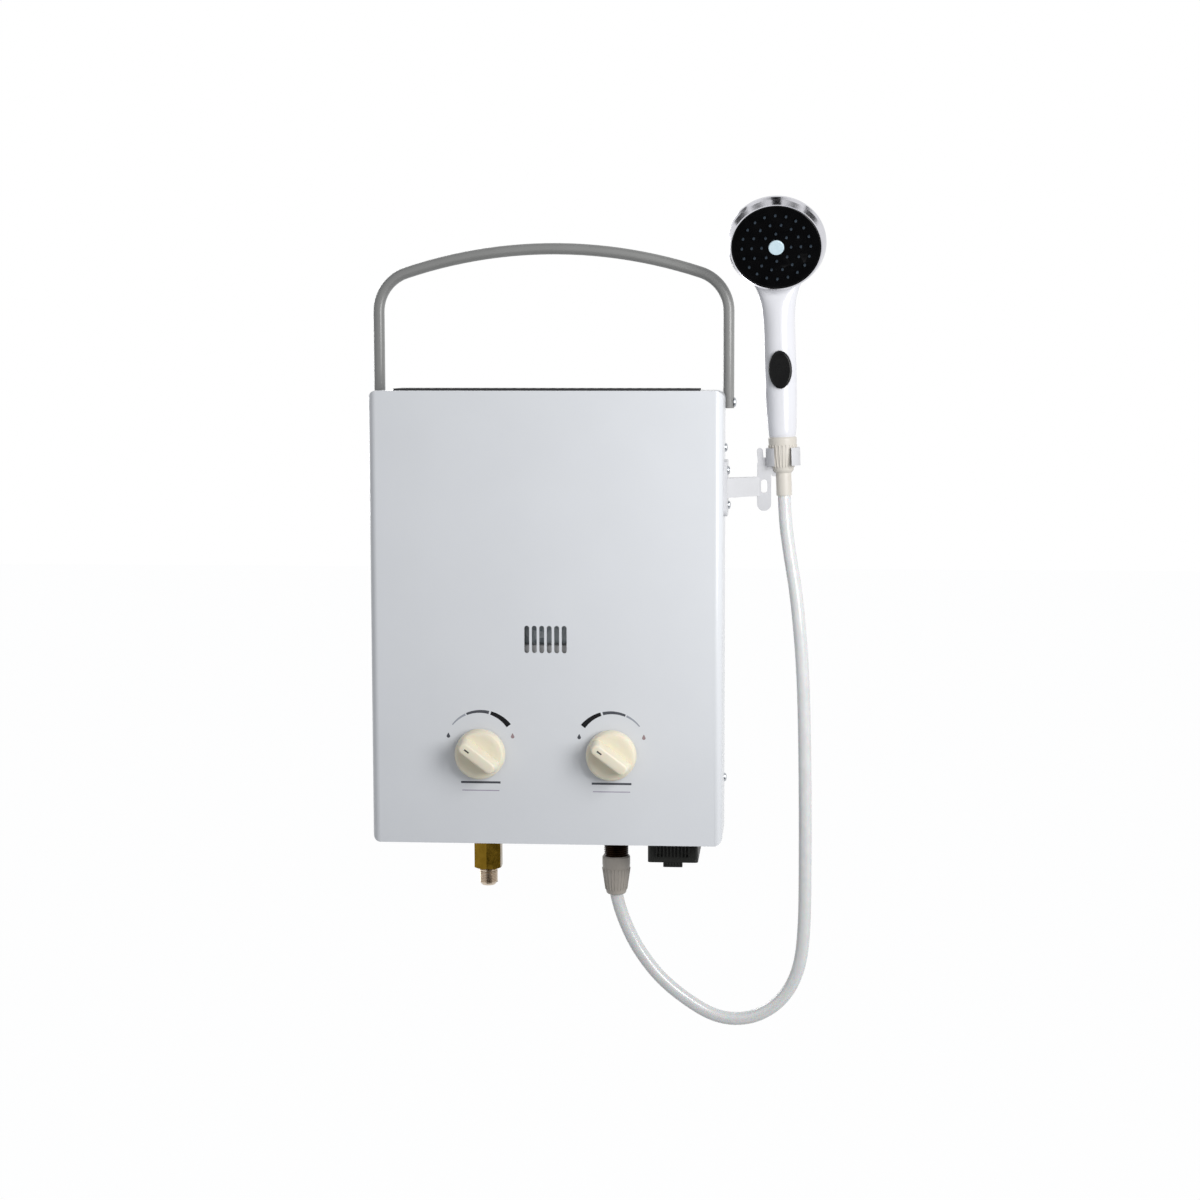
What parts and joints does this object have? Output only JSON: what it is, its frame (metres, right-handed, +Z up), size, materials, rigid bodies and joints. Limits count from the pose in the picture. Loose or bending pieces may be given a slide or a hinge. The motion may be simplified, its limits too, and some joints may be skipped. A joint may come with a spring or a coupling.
{
  "type": "portable propane water heater",
  "caption": "Portable gas water heater: flat sheet-metal case with a carrying bail, two knobs, battery box, pipe fittings, and a hose looping to a hand shower on its side.",
  "frame": {"origin": "middle of the four wall screw holes, on the back face of the case", "axes": "+Z up, the front faces -Y, +X to the viewer's right, towards the hand shower"},
  "size_m": [0.3837, 0.14, 0.6992],
  "materials": {
    "cover_enamel": "light grey-white powder coat on sheet steel",
    "chassis_enamel": "light grey-white powder coat on sheet steel",
    "grille_steel": "dark heat-proof paint, matt",
    "zinc_screws": "zinc-plated screws and nuts",
    "nylon_washer": "natural nylon",
    "bail_coat": "satin grey powder coat on steel tube",
    "galvanised_sheet": "galvanised sheet",
    "copper": "bare copper",
    "stainless_burner": "pressed stainless steel",
    "cast_aluminium": "die-cast aluminium",
    "brass_body": "hot-pressed brass",
    "steel_stem": "turned steel",
    "spring_steel": "spring wire",
    "black_rubber": "soft black rubber",
    "knob_plastic": "ivory moulded plastic, satin",
    "gas_brass": "turned brass, a little dull",
    "nickel_plate": "satin nickel plate",
    "dark_fitting": "dark bronzed brass",
    "battery_plastic": "black moulded plastic",
    "battery_wrap": "wrapped cell cans",
    "inner_plastic": "black moulded plastic",
    "electrode_porcelain": "glazed porcelain",
    "wire_sleeve": "silicone sleeve",
    "filter_mesh": "fine plastic mesh",
    "nut_grey": "satin grey moulded nut",
    "nut_beige": "beige moulded nut",
    "clear_pvc": "smooth translucent soft vinyl",
    "handset_plastic": "pale grey moulded plastic",
    "plated_rim": "chrome-plated plastic",
    "spray_black": "black moulded plastic",
    "nozzle_grey": "soft nozzle tips",
    "cap_pale": "pale blue-white plastic",
    "holder_plastic": "light grey-white moulded plastic"
  },
  "bodies": {
    "casing": {"front_cover": "cover_enamel", "back_chassis": "chassis_enamel", "exhaust_grille": "grille_steel", "panel_screws": "zinc_screws", "bail_pivot_screws": "zinc_screws", "bail_washers": "nylon_washer", "bail_pivot_nuts": "zinc_screws", "flue_hood": "galvanised_sheet", "heat_exchanger_fins": "copper", "combustion_chamber": "copper", "cold_riser_pipe": "copper", "hot_pipe": "copper", "cold_feed_pipe": "copper", "burner_frame": "galvanised_sheet", "burner_bars": "stainless_burner", "gas_manifold": "cast_aluminium", "gas_pipe": "cast_aluminium", "gas_valve_body": "cast_aluminium", "water_valve_body": "brass_body", "diaphragm": "black_rubber", "diaphragm_cover": "brass_body", "return_spring": "spring_steel", "gas_inlet_union": "gas_brass", "gas_flare_nipple": "nickel_plate", "hot_outlet_fitting": "dark_fitting", "cold_inlet_fitting": "brass_body", "battery_box": "battery_plastic", "battery_door_pin": "steel_stem", "battery_cells": "battery_wrap", "battery_contacts": "spring_steel", "microswitch": "inner_plastic", "igniter_box": "inner_plastic", "electrode_bracket": "galvanised_sheet", "electrode_ceramics": "electrode_porcelain", "electrode_wires": "spring_steel", "overheat_thermostat": "inner_plastic", "gas_solenoid": "inner_plastic", "wiring_harness": "wire_sleeve", "inner_brackets": "galvanised_sheet", "inlet_filter": "filter_mesh", "outlet_hose_nut": "nut_grey", "handset_hose_nut": "nut_beige", "hose_washers": "black_rubber", "shower_hose": "clear_pvc", "handset_shell": "handset_plastic", "spray_head_rim": "plated_rim", "spray_face": "spray_black", "spray_centre_cap": "cap_pale", "spray_nozzles": "nozzle_grey", "button_spring": "spring_steel", "shower_holder": "holder_plastic"},
    "bail": {"bail_handle": "bail_coat"},
    "gas_control": {"gas_knob": "knob_plastic", "gas_valve_stem": "steel_stem"},
    "water_control": {"water_knob": "knob_plastic", "water_valve_stem": "steel_stem"},
    "rod": {"push_rod": "brass_body"},
    "lever": {"switch_lever": "steel_stem"},
    "door": {"battery_door": "battery_plastic"},
    "button": {"pause_button": "spray_black"}
  },
  "joints": [
    {"name": "bail_swing", "type": "hinge", "parent": "casing", "child": "bail", "pos_m": [0, -0.0464, 0.1775], "axis": [1, 0, 0], "range_deg": [-128, 4]},
    {"name": "gas_knob_turn", "type": "hinge", "parent": "casing", "child": "gas_control", "pos_m": [-0.0545, -0.12, -0.112], "axis": [0, 1, 0], "range_deg": [0, 108]},
    {"name": "water_knob_turn", "type": "hinge", "parent": "casing", "child": "water_control", "pos_m": [0.0545, -0.12, -0.112], "axis": [0, 1, 0], "range_deg": [0, 108]},
    {"name": "rod_slide", "type": "slide", "parent": "casing", "child": "rod", "axis": [-1, 0, 0], "range_m": [0, 0.003], "stiffness_N_per_m": 400, "deforming": ["return_spring"]},
    {"name": "lever_turn", "type": "hinge", "parent": "casing", "child": "lever", "pos_m": [-0.0032, -0.051, -0.1044], "axis": [0, 1, 0], "range_deg": [0, 22.5]},
    {"name": "door_hinge", "type": "hinge", "parent": "casing", "child": "door", "pos_m": [0.1046, -0.0248, -0.202], "axis": [1, 0, 0], "range_deg": [0, 95]},
    {"name": "button_press", "type": "slide", "parent": "casing", "child": "button", "axis": [0, 1, 0], "range_m": [0, 0.0025], "stiffness_N_per_m": 400, "deforming": ["button_spring"]}
  ],
  "couplings": [
    {"joint": "lever_turn", "follows": "rod_slide", "rad_per_m": 128}
  ]
}
